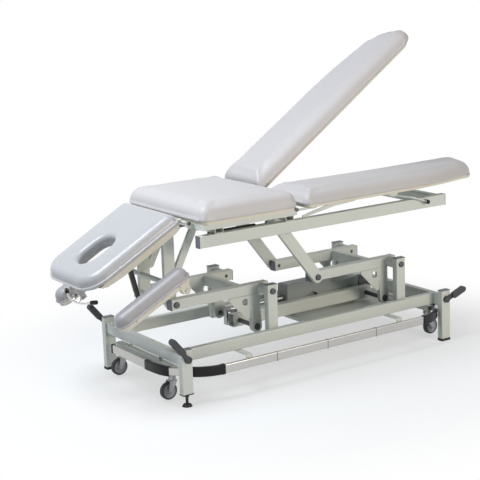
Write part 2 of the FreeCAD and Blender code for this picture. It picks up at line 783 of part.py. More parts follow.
def leg_sections():
    pad, frame = leg_pieces()
    hinge = at(leg_hinge_x, 0, leg_hinge_z)
    for name, shape in (("cushion", pad), ("frame", frame)):
        far = shape.copy()
        far.rotate(at(0, 0, 0), at(0, 1, 0), -far_leg_angle)
        far.translate(hinge)
        near = mirrored(shape)
        near.translate(hinge)
        write("leg_far_" + name, [far])
        write("leg_near_" + name, [near])


def leg_struts():
    """Gas springs under the middle section: bodies on the frame, rods on the legs."""
    flat_x, eye_z = strut_eye(0)
    raised_x = strut_eye(far_leg_angle)[0]
    z = leg_hinge_z + eye_z
    mouth = leg_hinge_x + flat_x - 70.0
    tail = mouth - strut_length
    bodies = []
    for sy in (-1, 1):
        y = sy * strut_y
        shell = rod_x(tail, mouth, y, z, strut_radius)
        bore = rod_x(tail + 14.0, mouth + 14.0, y, z, strut_rod_radius + side_clearance)
        hanger = block(tail, tail + 22.0, y - 6.0, y + 6.0, z, mid_frame_bottom)
        bodies.append(fused([shell, hanger]).cut(bore))
    write("leg_strut_bodies", bodies)
    for name, sy, offset in (("near", -1, flat_x), ("far", 1, raised_x)):
        x, y = leg_hinge_x + offset, sy * strut_y
        rod = rod_x(x - strut_length, x, y, z, strut_rod_radius)
        eye = rod_y(x, z, y - eye_thick / 2, y + eye_thick / 2, eye_radius)
        write("leg_" + name + "_rod", [fused([rod, eye])])


# Head section, drawn level with the hinge at the origin, head end on -X

def head_placed(shape):
    return moved(turned(shape, 0, 0, -head_slope), head_hinge_x, 0, head_hinge_z)


def head_plan(inset, z):
    i = inset
    start, end = -head_start - i, -(head_start + head_length) + i
    wide, narrow = head_half - i, head_tip_half - i
    shoulder = end + 78.0
    edges = []
    for sy in (-1, 1):
        edges.append(Part.makeLine(at(start - 20.0, sy * wide, z), at(shoulder, sy * narrow, z)))
        edges.append(Part.Arc(at(shoulder, sy * narrow, z), at(end + 30.0, sy * (narrow - 26.0), z),
                              at(end + 8.0, sy * (narrow - 82.0), z)).toShape())
        edges.append(Part.Arc(at(start - 20.0, sy * wide, z), at(start - 6.0, sy * (wide - 6.0), z),
                              at(start, sy * (wide - 20.0), z)).toShape())
    side = narrow - 82.0
    edges.append(Part.Arc(at(end + 8.0, -side, z), at(end, 0, z), at(end + 8.0, side, z)).toShape())
    edges.append(Part.makeLine(at(start, 20.0 - wide, z), at(start, wide - 20.0, z)))
    return Part.Wire(Part.__sortEdges__(edges))


def face_hole(z0, z1, grow):
    """Stadium-ended oval through the head section."""
    half = face_wide / 2 + grow
    reach = face_long / 2 - face_wide / 2
    slot = block(-face_x - reach, -face_x + reach, -half, half, z0, z1)
    ends = [rod_z(-face_x + sx * reach, 0, z0, z1, half) for sx in (-1, 1)]
    return fused([slot] + ends)


def head_section():
    top = head_lift + head_pad_thick
    pad = Part.Face(head_plan(0.0, head_lift)).extrude(at(0, 0, head_pad_thick))
    pad = softened(pad, pad_bevel, lambda e: e.BoundBox.ZMin > top - 0.1)
    pad = pad.cut(face_hole(head_lift - 1, top + 1, 0.0))
    pad = softened(pad, 18.0, lambda e: e.BoundBox.ZMin > top - 0.1 and e.BoundBox.YMax < face_wide
                   and e.BoundBox.YMin > -face_wide and e.BoundBox.XMax < -face_x + face_long / 2 + 1
                   and e.BoundBox.XMin > -face_x - face_long / 2 - 1)
    write("head_cushion", [head_placed(pad)])
    low = head_lift - head_board_thick
    board = Part.Face(head_plan(8.0, low)).extrude(at(0, 0, head_board_thick))
    board = board.cut(face_hole(low - 1, top, 4.0))
    parts = [board]
    for y in (-head_knuckle_y, head_knuckle_y):
        arm = block(-90.0, 0, y - knuckle_half, y + knuckle_half, 0, low)
        parts += [arm, rod_y(0, 0, y - knuckle_half, y + knuckle_half, knuckle_radius)]
    bore = rod_y(0, 0, -head_half, head_half, head_pin_radius + pin_clearance)
    write("head_board", [head_placed(fused(parts + head_sides(low)).cut(bore))])
    write("head_brackets", [head_lugs()] + [head_placed(piece) for piece in tip_bracket(low)])


def head_sides(low):
    """Deep side rails under the board, joined near the hinge and near the tip."""
    x0, x1 = -head_start - 15.0, -(head_start + head_length) + 52.0
    z = head_side_bottom
    outline = [(x0, low), (x0, z + 8.0), (x0 - 30.0, z), (x1 + 110.0, z), (x1 + 30.0, z + 8.0), (x1, low)]
    rails = both_sides(plate_xz(outline, head_side_y, head_side_y + head_side_thick))
    ties = [block(x, x + 16.0, -head_side_y, head_side_y, z + 10.0, low) for x in (x0 - 72.0, x1 + 14.0)]
    return rails + ties


def head_lugs():
    """Plates under the board, either side of the eye of the head strut."""
    x, z = head_strut_top
    gap = eye_thick / 2 + side_clearance
    slope = math.tan(math.radians(head_slope))
    low = head_lift - head_board_thick

    def under(px):
        return head_hinge_z + (px - head_hinge_x) * slope + low / math.cos(math.radians(head_slope))
    plates = []
    for y0 in (-gap - lug_thick, gap):
        outline = [(x + 34.0, under(x + 34.0)), (x - 34.0, under(x - 34.0)), (x - 12.0, z - 12.0),
                   (x + 12.0, z - 12.0)]
        plates.append(plate_xz(outline, y0, y0 + lug_thick))
    outline = [(x + 40.0, under(x + 40.0)), (x - 40.0, under(x - 40.0)), (x - 38.0, under(x - 38.0) - 4.0),
               (x + 42.0, under(x + 42.0) - 4.0)]
    foot = plate_xz(outline, -28.0, 28.0)
    return fused(plates + [foot])


def tip_bracket(low):
    """Folded strip under the tip and the bent release bar that it holds."""
    x = -(head_start + head_length) + 15.0
    strip = block(x, x + 30.0, -34.0, 34.0, low - 4.0, low)
    sides = [block(x + 2.0, x + 26.0, y, y + 3.0, low - 74.0, low) for y in (-30.0, 27.0)]
    bore = rod_y(x + 13.0, low - 66.0, -40.0, 40.0, 4.0 + pin_clearance)
    return [fused([strip] + sides).cut(bore)]


def release_bar():
    """Bent bar with a knob at each end, on two short links."""
    low = head_lift - head_board_thick
    x = -(head_start + head_length) + 28.0
    z = low - 66.0
    ends = [at(x - 8.0, sy * 106.0, z - 4.0) for sy in (-1, 1)]
    arc = Part.Arc(ends[0], at(x - 32.0, 0, z - 8.0), ends[1]).toShape()
    normal = arc.tangentAt(arc.FirstParameter)
    ring = Part.Wire([Part.makeCircle(4.0, ends[0], normal)])
    bar = Part.Wire([arc]).makePipeShell([ring], True, True)
    knobs = [rod_between(end, end + at(10.0, sy * 24.0, 0), 8.0) for end, sy in zip(ends, (-1, 1))]
    pivot = rod_y(x, z, -34.0, 34.0, 4.0)
    links = [rod_between(at(x, sy * 22.0, z), at(x - 30.0, sy * 22.0, z - 7.5), 3.5) for sy in (-1, 1)]
    write("release_bar", [head_placed(fused([bar, pivot] + knobs + links))])


def head_strut():
    """Gas spring from the drop bars to the head section."""
    top = at(head_strut_top[0], 0, head_strut_top[1])
    foot = at(head_strut_foot[0], 0, head_strut_foot[1])
    run = (top - foot).normalize()
    tail, mouth = foot + run * 16.0, foot + run * head_strut_body
    half = eye_thick / 2
    eye = rod_y(foot.x, foot.z, -half, half, eye_radius)
    neck = rod_between(foot + run * 9.0, tail, eye_thick / 2 - 0.2)
    shell = rod_between(tail, mouth, strut_radius)
    bore = rod_between(foot + run * 20.0, top, strut_rod_radius + side_clearance)
    body = fused([eye, neck, shell]).cut(bore)
    body = body.cut(rod_y(foot.x, foot.z, -half - 1, half + 1, hinge_pin_radius + pin_clearance))
    write("head_strut_body", [body])
    rod = rod_between(top - run * head_strut_rod, top, strut_rod_radius)
    write("head_strut_rod", [fused([rod, rod_y(top.x, top.z, -half, half, eye_radius)])])


# Armrests

def armrests():
    """Padded armrests on the ends of the cross tube between the drop bars."""
    x1 = armrest_inner_x - armrest_pivot_x
    z1 = armrest_inner_z - armrest_pivot_z
    slope = math.radians(armrest_slope)
    run = x1 * math.cos(slope) + z1 * math.sin(slope)
    rise = z1 * math.cos(slope) - x1 * math.sin(slope)
    total = armrest_pad_thick + armrest_board_thick
    low = rise - total / 2
    half = armrest_wide / 2
    for name, sy in (("near", -1), ("far", 1)):
        y = sy * armrest_y
        pad = stadium(run - armrest_length, run, y, half, low + armrest_board_thick, armrest_pad_thick)
        pad = softened(pad, 22.0, lambda e: e.BoundBox.ZMin > low + total - 0.1)
        board = stadium(run - armrest_length + 8.0, run - 8.0, y, half - 8.0, low, armrest_board_thick)
        lug = block(-20.0, 20.0, y - 14.0, y + 14.0, -4.0, low)
        eye = rod_y(0, 0, y - 14.0, y + 14.0, armrest_eye_radius)
        bore = rod_y(0, 0, y - 15.0, y + 15.0, pin_radius + pin_clearance)
        frame = fused([board, lug, eye]).cut(bore)
        for label, shape in (("pad", pad), ("board", frame)):
            shape = moved(turned(shape, 0, 0, -armrest_slope), armrest_pivot_x, 0, armrest_pivot_z)
            write("armrest_" + name + "_" + label, [shape])


def stadium(x0, x1, y, half, z, thick):
    a, b = x0 + half, x1 - half
    loop = Part.Wire([Part.makeLine(at(a, y - half, z), at(b, y - half, z)),
                      Part.Arc(at(b, y - half, z), at(x1, y, z), at(b, y + half, z)).toShape(),
                      Part.makeLine(at(b, y + half, z), at(a, y + half, z)),
                      Part.Arc(at(a, y + half, z), at(x0, y, z), at(a, y - half, z)).toShape()])
    return Part.Face(loop).extrude(at(0, 0, thick))


# Pedals, castor carriers and castors

def pedals(name, sx, reach, degrees):
    """Cross shaft in the end beam with a pedal bar outside each leg."""
    x = sx * shaft_x
    outer = side_half + side_clearance
    shaft = rod_y(x, shaft_z, -outer, outer, shaft_radius)
    rise = at(sx * math.cos(math.radians(degrees)), 0, math.sin(math.radians(degrees)))
    centre = at(x, 0, shaft_z)
    middle, tip = centre + rise * (0.42 * reach), centre + rise * reach
    solids = [shaft]
    for sy in (-1, 1):
        arm = link(((x, shaft_z), (tip.x, tip.z)), pedal_wide * 0.7, outer, outer + pedal_thick, hole=0,
                   hollow=False)
        pad_end = outer + pedal_thick + pedal_bead
        pad = link(((middle.x, middle.z), (tip.x, tip.z)), pedal_wide, outer, pad_end, hole=0, hollow=False)
        hub = rod_y(x, shaft_z, outer, outer + pedal_thick, pedal_hub)
        solids += [part if sy > 0 else mirrored(part) for part in (arm, pad, hub)]
    write("pedals_" + name, [fused(solids)])


def carrier(name, sx):
    """Cross tube that carries two castors, on guide pins in the end beam."""
    x = sx * shaft_x
    z = carrier_bottom + carrier_tall / 2
    half = castor_y + 24.0
    beam = tube(at(x, -half, z), at(x, half, z), carrier_wide, carrier_tall)
    parts = [beam]
    for y in (-guide_y, guide_y):
        parts.append(rod_z(x, y, carrier_bottom + wall, guide_top, guide_radius))
    solid = fused(parts)
    for y in (-castor_y, castor_y):
        solid = solid.fuse(rod_z(x, y, carrier_bottom, carrier_bottom + carrier_tall, stem_radius + 5.0))
        solid = solid.cut(rod_z(x, y, carrier_bottom - 1, carrier_bottom + carrier_tall - 3.0,
                                stem_radius + pin_clearance))
    write("carrier_" + name, [solid])


def castor(name, sx, sy):
    """Swivel fork and wheel of one castor, trailing away from the base's middle."""
    x, y = sx * shaft_x, sy * castor_y
    axle_x, axle_z = x + sx * castor_trail, wheel_lift + wheel_radius
    stem = rod_z(x, y, carrier_bottom - 14.0, carrier_bottom + carrier_tall - 6.0, stem_radius)
    collar_z = carrier_bottom - side_clearance - castor_collar
    head = Part.makeCone(head_tube_radius + 4.0, head_tube_radius, castor_collar, at(x, y, collar_z))
    side_y = wheel_wide / 2 + fork_gap
    top_z = axle_z + wheel_radius + 4.0
    crown = block(min(x - sx * 16.0, axle_x), max(x - sx * 16.0, axle_x), y - side_y - fork_thick,
                  y + side_y + fork_thick, top_z, top_z + fork_thick)
    neck = rod_z(x, y, top_z, collar_z, head_tube_radius)
    parts = [stem, head, crown, neck]
    for y0 in (y - side_y - fork_thick, y + side_y):
        outline = [(x - sx * 16.0, top_z + fork_thick), (axle_x, top_z + fork_thick),
                   (axle_x + sx * 9.0, axle_z), (axle_x, axle_z - 9.0), (axle_x - sx * 9.0, axle_z)]
        parts.append(plate_xz(outline, y0, y0 + fork_thick))
    fork = fused(parts).cut(rod_y(axle_x, axle_z, y - 60.0, y + 60.0, 4.0 + pin_clearance))
    write("castor_" + name + "_fork", [fork])
    wheel = rod_y(axle_x, axle_z, y - wheel_wide / 2, y + wheel_wide / 2, wheel_radius)
    wheel = softened(wheel, 4.0, lambda e: e.BoundBox.ZLength > 2 * wheel_radius - 1)
    dish = rod_y(axle_x, axle_z, y - wheel_wide / 2 - 1, y - wheel_wide / 2 + 5.0, wheel_radius - 10.0)
    wheel = wheel.cut(dish).cut(moved(dish, 0, wheel_wide - 4.0, 0))
    axle = rod_y(axle_x, axle_z, y - side_y - fork_thick - 3.0, y + side_y + fork_thick + 3.0, 4.0)
    hub = rod_y(axle_x, axle_z, y - side_y + 0.3, y + side_y - 0.3, 9.0)
    write("castor_" + name + "_wheel", [fused([wheel, hub, axle])])


# Foot bar round the base

def foot_bar():
    z = bar_bottom + bar_tall / 2
    run = bar_half_long
    pieces = [tube(at(-run, -bar_y, z), at(run, -bar_y, z), bar_thin, bar_tall, skin=bar_wall)]
    for sx in (-1, 1):
        x = sx * bar_end_x
        pieces.append(tube(at(x, bar_end_near, z), at(x, bar_end_far, z), bar_thin, bar_tall, skin=bar_wall))
    write("foot_bar", pieces)
    corners = [bar_corner(sx, z) for sx in (-1, 1)]
    for sx in (-1, 1):
        corners.append(block(sx * bar_end_x - bar_thin / 2, sx * bar_end_x + bar_thin / 2, bar_end_far,
                             bar_end_far + 14.0, bar_bottom, bar_bottom + bar_tall))
    write("foot_bar_corners", corners)


def bar_corner(sx, z):
    """Moulded corner swept from the side bar round the leg to the end bar."""
    x0, x1 = sx * bar_half_long, sx * bar_end_x
    y0, y1 = -bar_y, bar_end_near
    radius = bar_corner_radius
    cx, cy = x1 - sx * radius, y0 + radius
    k = radius * math.sqrt(0.5)
    path = Part.Wire([Part.makeLine(at(x0, y0, z), at(cx, y0, z)),
                      Part.Arc(at(cx, y0, z), at(cx + sx * k, cy - k, z), at(x1, cy, z)).toShape(),
                      Part.makeLine(at(x1, cy, z), at(x1, y1, z))])
    ring = rounded_loop(bar_thin + 4.0, bar_tall, 6.0)
    upright = FreeCAD.Rotation(at(0, 1, 0), at(0, 0, 1), at(1, 0, 0), "ZXY")
    ring.Placement = FreeCAD.Placement(at(x0, y0, z), upright)
    return path.makePipeShell([ring], True, False)


def bar_brackets():
    """Brackets under the near rail that carry the foot bar."""
    solids = []
    y0 = -bar_y + bar_thin / 2 + side_clearance
    y1 = -rail_outer + rail_thin / 2 - 1.0
    for x in (-bar_bracket_x, bar_bracket_x):
        x0, x1 = x - bar_bracket_wide / 2, x + bar_bracket_wide / 2
        arm = block(x0, x1, y0, y1, rail_bottom - 4.0, rail_bottom)
        drop = block(x0, x1, y0, y0 + 4.0, bar_bottom + 4.0, rail_bottom)
        solids.append(fused([arm, drop]))
    return solids


for step in (base_legs, base_beams, base_rails, base_posts, base_caps, base_feet, base_plate, drive_unit,
             drive_rod, tie_beam, top_rails, top_caps, top_links, top_cross_tubes, mid_frame, mid_section,
             leg_sections, leg_struts, head_section, release_bar, head_strut, armrests, foot_bar):
    step()
lift_arms("arm_head", pivot_head_x, False)
lift_arms("arm_foot", pivot_foot_x, True)
pedals("head", -1, *pedal_head)
pedals("foot", 1, *pedal_foot)
for end, sx in (("head", -1), ("foot", 1)):
    carrier(end, sx)
    for side, sy in (("near", -1), ("far", 1)):
        castor(end + "_" + side, sx, sy)
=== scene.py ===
import json
import math

import bmesh
import bpy
from mathutils import Matrix, Vector


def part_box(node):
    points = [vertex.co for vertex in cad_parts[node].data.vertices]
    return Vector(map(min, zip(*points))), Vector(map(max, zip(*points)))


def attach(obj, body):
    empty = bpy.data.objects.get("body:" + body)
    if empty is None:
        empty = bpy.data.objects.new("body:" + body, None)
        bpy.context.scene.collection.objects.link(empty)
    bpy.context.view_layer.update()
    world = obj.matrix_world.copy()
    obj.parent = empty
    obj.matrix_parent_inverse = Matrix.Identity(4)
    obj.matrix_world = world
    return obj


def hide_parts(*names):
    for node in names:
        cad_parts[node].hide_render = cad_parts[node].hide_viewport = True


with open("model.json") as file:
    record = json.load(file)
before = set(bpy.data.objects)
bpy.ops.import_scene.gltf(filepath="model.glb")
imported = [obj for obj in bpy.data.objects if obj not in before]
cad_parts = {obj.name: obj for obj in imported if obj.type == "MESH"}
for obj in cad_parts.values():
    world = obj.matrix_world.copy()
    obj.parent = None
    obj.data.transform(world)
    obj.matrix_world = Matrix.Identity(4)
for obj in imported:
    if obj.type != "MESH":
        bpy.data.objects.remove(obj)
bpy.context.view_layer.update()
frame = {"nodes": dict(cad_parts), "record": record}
nodes = frame["nodes"]
print("frame loaded:", len(nodes), "nodes")


# Colours and material nodes

def linear(hexText):
    values = [int(hexText[i:i + 2], 16) / 255 for i in (1, 3, 5)]
    return [v / 12.92 if v <= 0.04045 else ((v + 0.055) / 1.055) ** 2.4 for v in values] + [1.0]


def addNode(tree, kind, settings=None, links=None):
    node = tree.nodes.new("ShaderNode" + kind)
    for key, value in (settings or {}).items():
        if isinstance(key, int) or key in node.inputs:
            node.inputs[key].default_value = value
        else:
            setattr(node, key, value)
    for key, socket in (links or {}).items():
        tree.links.new(socket, node.inputs[key])
    return node


def newMaterial(name, look):
    material = bpy.data.materials.new(name)
    material.use_nodes = True
    tree = material.node_tree
    tree.nodes.clear()
    shader = addNode(tree, "BsdfPrincipled", {"Metallic": look.get("metallic", 0.0)})
    if "specular" in look:
        shader.inputs["Specular IOR Level"].default_value = look["specular"]
    addNode(tree, "OutputMaterial", links={"Surface": shader.outputs[0]})
    place = addNode(tree, "TexCoord").outputs["Object"]
    return material, tree, shader, place


def patterned(name, look):
    # cloudy colour, a fine grain that lifts the surface, and a roughness that follows the cloud
    material, tree, shader, place = newMaterial(name, look)
    stretch = addNode(tree, "Mapping", {"Scale": look.get("stretch", (1, 1, 1))}, {"Vector": place})
    cloud = addNode(tree, "TexNoise", {"Scale": 1 / look["cloudSize"], "Detail": 3.0}, {"Vector": place})
    grain = addNode(tree, "TexNoise", {"Scale": 1 / look["grainSize"], "Detail": 2.0},
                    {"Vector": stretch.outputs[0]})
    tone = addNode(tree, "Mix", {"data_type": "RGBA"}, {0: cloud.outputs["Fac"]})
    tone.inputs[6].default_value = linear(look["colour"])
    tone.inputs[7].default_value = linear(look["shade"])
    rough = addNode(tree, "MapRange", {"To Min": look["roughness"] - look["roughSpread"],
                                       "To Max": look["roughness"] + look["roughSpread"]},
                    {"Value": grain.outputs["Fac"] if look.get("streaked") else cloud.outputs["Fac"]})
    bump = addNode(tree, "Bump", {"Strength": look["relief"], "Distance": look["grainSize"] * 0.4},
                   {"Height": grain.outputs["Fac"]})
    tree.links.new(tone.outputs[2], shader.inputs["Base Color"])
    tree.links.new(rough.outputs[0], shader.inputs["Roughness"])
    tree.links.new(bump.outputs[0], shader.inputs["Normal"])
    return material


finishes = {
    # calendered vinyl: soft satin with a pore too fine to see, drawn at 2 mm
    "calenderedVinyl": {"colour": "#C0BDBC", "shade": "#B9B6B5", "cloudSize": 0.22, "grainSize": 0.002,
                        "relief": 0.10, "roughness": 0.46, "roughSpread": 0.04},
    # polyurethane foam moulded with its own skin: smooth, a little glossier than the vinyl
    "mouldedFoamSkin": {"colour": "#B1B1B2", "shade": "#A9A9AA", "cloudSize": 0.15, "grainSize": 0.0025,
                        "relief": 0.05, "roughness": 0.28, "roughSpread": 0.03},
    # the same foam skin on the armrests, coloured darker as painted shade for the shadow the couch above casts
    # on them
    "armrestFoamSkin": {"colour": "#9D9B9D", "shade": "#959395", "cloudSize": 0.12, "grainSize": 0.0025,
                        "relief": 0.05, "roughness": 0.40, "roughSpread": 0.04},
    # polyester powder coat on steel tube: even, with a faint orange peel
    "powderCoatedSteel": {"colour": "#D0D4CD", "shade": "#C7CBC4", "cloudSize": 0.30, "grainSize": 0.003,
                          "relief": 0.06, "roughness": 0.38, "roughSpread": 0.04},
    # zinc plated steel: dull silver with cloudy passivation
    "zincPlatedSteel": {"colour": "#A9ABAC", "shade": "#8C8F91", "cloudSize": 0.012, "grainSize": 0.0015,
                        "relief": 0.05, "roughness": 0.34, "roughSpread": 0.08, "metallic": 1.0},
    # anodised aluminium extrusion: satin, drawn lines along the bar
    "anodisedAluminium": {"colour": "#C6C5C2", "shade": "#B3B1AD", "cloudSize": 0.25, "grainSize": 0.0012,
                          "stretch": (0.02, 0.02, 1.0), "relief": 0.10, "roughness": 0.30,
                          "roughSpread": 0.08, "metallic": 1.0, "streaked": True},
    # moulded nylon, polished tool: black and glossy
    "polishedNylon": {"colour": "#0A0A0C", "shade": "#101113", "cloudSize": 0.05, "grainSize": 0.003,
                      "relief": 0.04, "roughness": 0.30, "roughSpread": 0.05, "specular": 0.3},
    # moulded polypropylene, spark eroded tool: dark grey, matt
    "sparkTexturedPolypropylene": {"colour": "#303236", "shade": "#3A3C40", "cloudSize": 0.04,
                                   "grainSize": 0.0015, "relief": 0.25, "roughness": 0.55,
                                   "roughSpread": 0.06},
    # moulded polyethylene tube plugs
    "polyethylenePlug": {"colour": "#5C6165", "shade": "#6A6F73", "cloudSize": 0.03, "grainSize": 0.002,
                         "relief": 0.12, "roughness": 0.5, "roughSpread": 0.05},
    # ABS drive cover with a fine moulded texture
    "mouldedAbs": {"colour": "#8F9593", "shade": "#858B89", "cloudSize": 0.08, "grainSize": 0.0018,
                   "relief": 0.15, "roughness": 0.42, "roughSpread": 0.05},
    # phosphated steel bolts and pivots: nearly black, dull
    "phosphatedSteel": {"colour": "#4A4C4F", "shade": "#5C5E60", "cloudSize": 0.01, "grainSize": 0.0012,
                        "relief": 0.08, "roughness": 0.42, "roughSpread": 0.08, "metallic": 0.8},
    # chromed steel
    "chromedSteel": {"colour": "#D9DADB", "shade": "#CFD0D2", "cloudSize": 0.05, "grainSize": 0.004,
                     "relief": 0.02, "roughness": 0.12, "roughSpread": 0.04, "metallic": 1.0},
    # black enamelled gas spring tube
    "enamelledTube": {"colour": "#19191B", "shade": "#222224", "cloudSize": 0.03, "grainSize": 0.002,
                      "relief": 0.03, "roughness": 0.28, "roughSpread": 0.05},
    # melamine faced board
    "melamineBoard": {"colour": "#D8D2C4", "shade": "#CEC8B9", "cloudSize": 0.06, "grainSize": 0.002,
                      "relief": 0.06, "roughness": 0.5, "roughSpread": 0.06},
    # moulded natural rubber feet
    "mouldedRubber": {"colour": "#18181A", "shade": "#232326", "cloudSize": 0.02, "grainSize": 0.0015,
                      "relief": 0.2, "roughness": 0.7, "roughSpread": 0.08},
    # grey thermoplastic rubber tread
    "rubberTread": {"colour": "#2B2C2E", "shade": "#38393B", "cloudSize": 0.02, "grainSize": 0.0015,
                    "relief": 0.15, "roughness": 0.6, "roughSpread": 0.08},
    # moulded nylon wheel centre
    "mouldedNylon": {"colour": "#8D9194", "shade": "#9A9EA0", "cloudSize": 0.02, "grainSize": 0.0015,
                     "relief": 0.08, "roughness": 0.42, "roughSpread": 0.05},
    # yellow passivated steel strip
    "passivatedSteel": {"colour": "#B49A63", "shade": "#9C8250", "cloudSize": 0.015, "grainSize": 0.0015,
                        "relief": 0.05, "roughness": 0.34, "roughSpread": 0.08, "metallic": 1.0},
}
materials = {name: patterned(name, look) for name, look in finishes.items()}


def boardOverSteel(name, normal, height, upper, lower):
    # one node holds a board and the steel under it: the finish changes at the board's lower face
    up, low = finishes[upper], finishes[lower]
    material, tree, shader, place = newMaterial(name, {})
    along = addNode(tree, "VectorMath", {"operation": "DOT_PRODUCT", 1: normal}, {0: place})
    over = addNode(tree, "Math", {"operation": "GREATER_THAN", 1: height}, {0: along.outputs["Value"]})
    cloud = addNode(tree, "TexNoise", {"Scale": 1 / up["cloudSize"], "Detail": 3.0}, {"Vector": place})
    tones = []
    for look in (low, up):
        tone = addNode(tree, "Mix", {"data_type": "RGBA"}, {0: cloud.outputs["Fac"]})
        tone.inputs[6].default_value = linear(look["colour"])
        tone.inputs[7].default_value = linear(look["shade"])
        tones.append(tone.outputs[2])
    colour = addNode(tree, "Mix", {"data_type": "RGBA"}, {0: over.outputs[0], 6: tones[0], 7: tones[1]})
    rough = addNode(tree, "MapRange", {"To Min": low["roughness"], "To Max": up["roughness"]},
                    {"Value": over.outputs[0]})
    metal = addNode(tree, "MapRange", {"To Min": low.get("metallic", 0.0), "To Max": 0.0},
                    {"Value": over.outputs[0]})
    grain = addNode(tree, "TexNoise", {"Scale": 1 / up["grainSize"]}, {"Vector": place})
    bump = addNode(tree, "Bump", {"Strength": up["relief"], "Distance": up["grainSize"] * 0.4},
                   {"Height": grain.outputs["Fac"]})
    tree.links.new(colour.outputs[2], shader.inputs["Base Color"])
    tree.links.new(rough.outputs[0], shader.inputs["Roughness"])
    tree.links.new(metal.outputs[0], shader.inputs["Metallic"])
    tree.links.new(bump.outputs[0], shader.inputs["Normal"])
    return material


# Places shared with the steel frame, in metres and degrees

legHinge = Vector((-0.106, 0.0, 0.712))
legRaised = 34.5
legBoardBottom = -0.004
headHinge = Vector((-0.590, 0.0, 0.715))
headSlope = 28.7
headBoardBottom = 0.010
armrestPivot = Vector((-0.636, 0.0, 0.456))
armrestSlope = 27.2
armrestY = 0.256


def tilted(origin, degrees):
    # matrix from a section drawn level, with its hinge at the origin, to its place on the couch
    return Matrix.Translation(origin) @ Matrix.Rotation(math.radians(-degrees), 4, "Y")


def planeOf(matrix, height):
    normal = (matrix.to_3x3() @ Vector((0, 0, 1))).normalized()
    return normal, normal.dot(matrix @ Vector((0, 0, height)))


legDown, legUp = tilted(legHinge, 0), tilted(legHinge, legRaised)
headPlace = tilted(headHinge, headSlope)
armrestPlace = tilted(armrestPivot, armrestSlope)

for nodeName, matrix, height, upper, lower in (
        ("leg_near_frame", legDown, legBoardBottom, "melamineBoard", "powderCoatedSteel"),
        ("leg_far_frame", legUp, legBoardBottom, "melamineBoard", "powderCoatedSteel"),
        ("head_board", headPlace, headBoardBottom, "mouldedFoamSkin", "melamineBoard")):
    normal, level = planeOf(matrix, height)
    materials[nodeName] = boardOverSteel(nodeName + "Finish", normal, level, upper, lower)

nodeFinish = {
    "powderCoatedSteel": ("base_legs base_beams base_rail_near base_rail_far base_posts base_plates "
                          "arm_foot_tubes arm_foot_levers arm_head_tubes arm_head_levers tie_beam "
                          "top_rail_near top_rail_far top_links top_cross_tubes mid_frame carrier_head "
                          "carrier_foot"),
    "phosphatedSteel": "base_bolts arm_foot_pins arm_head_pins",
    "zincPlatedSteel": ("drive_rod head_brackets head_strut_rod "
                        "leg_near_rod leg_far_rod castor_head_near_fork castor_head_far_fork "
                        "castor_foot_near_fork castor_foot_far_fork"),
    "polyethylenePlug": "base_caps arm_foot_caps arm_head_caps top_caps",
    "mouldedRubber": "base_feet",
    "mouldedAbs": "drive_housing",
    "sparkTexturedPolypropylene": "drive_motor pedals_head pedals_foot",
    "anodisedAluminium": "foot_bar",
    "polishedNylon": "foot_bar_corners",
    "chromedSteel": "release_bar",
    "enamelledTube": "leg_strut_bodies head_strut_body",
    "melamineBoard": "mid_board armrest_near_board armrest_far_board",
    "leg_near_frame": "leg_near_frame",
    "leg_far_frame": "leg_far_frame",
    "head_board": "head_board",
}
for finish, names in nodeFinish.items():
    for nodeName in names.split():
        node = nodes[nodeName]
        node.data.materials.clear()
        node.data.materials.append(materials[finish])
print("finishes:", len(materials))


# Helpers for new pieces

def finished(name, mesh, finish, body, smooth=True):
    data = bpy.data.meshes.new(name)
    bmesh.ops.remove_doubles(mesh, verts=mesh.verts, dist=1e-6)
    bmesh.ops.recalc_face_normals(mesh, faces=mesh.faces)
    for face in mesh.faces:
        face.smooth = smooth
    mesh.to_mesh(data)
    mesh.free()
    piece = bpy.data.objects.new(name, data)
    bpy.context.scene.collection.objects.link(piece)
    for each in finish if isinstance(finish, tuple) else (finish,):
        data.materials.append(materials[each])
    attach(piece, body)
    return piece


def subdivided(piece, levels):
    modifier = piece.modifiers.new("Rounding", "SUBSURF")
    modifier.levels = levels
    modifier.render_levels = levels
    return piece


def outlinePoints(corners, inset, count):
    # evenly spaced points round a shape given by its corners and their radii, moved inwards by inset
    path = []
    total = len(corners)
    shrunk = []
    for index, (x, y, radius) in enumerate(corners):
        before, after = corners[index - 1], corners[(index + 1) % total]
        incoming = (Vector((x, y)) - Vector(before[:2])).normalized()
        outgoing = (Vector(after[:2]) - Vector((x, y))).normalized()
        inward = Vector((-incoming.y, incoming.x)) + Vector((-outgoing.y, outgoing.x))
        inward /= 1 + incoming.dot(outgoing)
        shrunk.append((Vector((x, y)) + inward * inset, incoming, outgoing, max(radius - inset, 0.0005)))
    for corner, incoming, outgoing, radius in shrunk:
        turn = math.acos(max(-1.0, min(1.0, incoming.dot(outgoing))))
        reach = radius * math.tan(turn / 2)
        start = corner - incoming * reach
        centre = start + Vector((-incoming.y, incoming.x)) * radius
        for step in range(13):
            swing = Matrix.Rotation(turn * step / 12, 2)
            path.append(centre + swing @ (start - centre))
    path.append(path[0])
    lengths = [0.0]
    for first, second in zip(path, path[1:]):
        lengths.append(lengths[-1] + (second - first).length)
    middle = (lengths[0] + lengths[1]) / 2
    points = []
    for step in range(count):
        target = (middle + lengths[-1] * step / count) % lengths[-1]
        at = max(i for i, length in enumerate(lengths[:-1]) if length <= target)
        share = (target - lengths[at]) / max(lengths[at + 1] - lengths[at], 1e-9)
        points.append(path[at].lerp(path[at + 1], share))
    return points


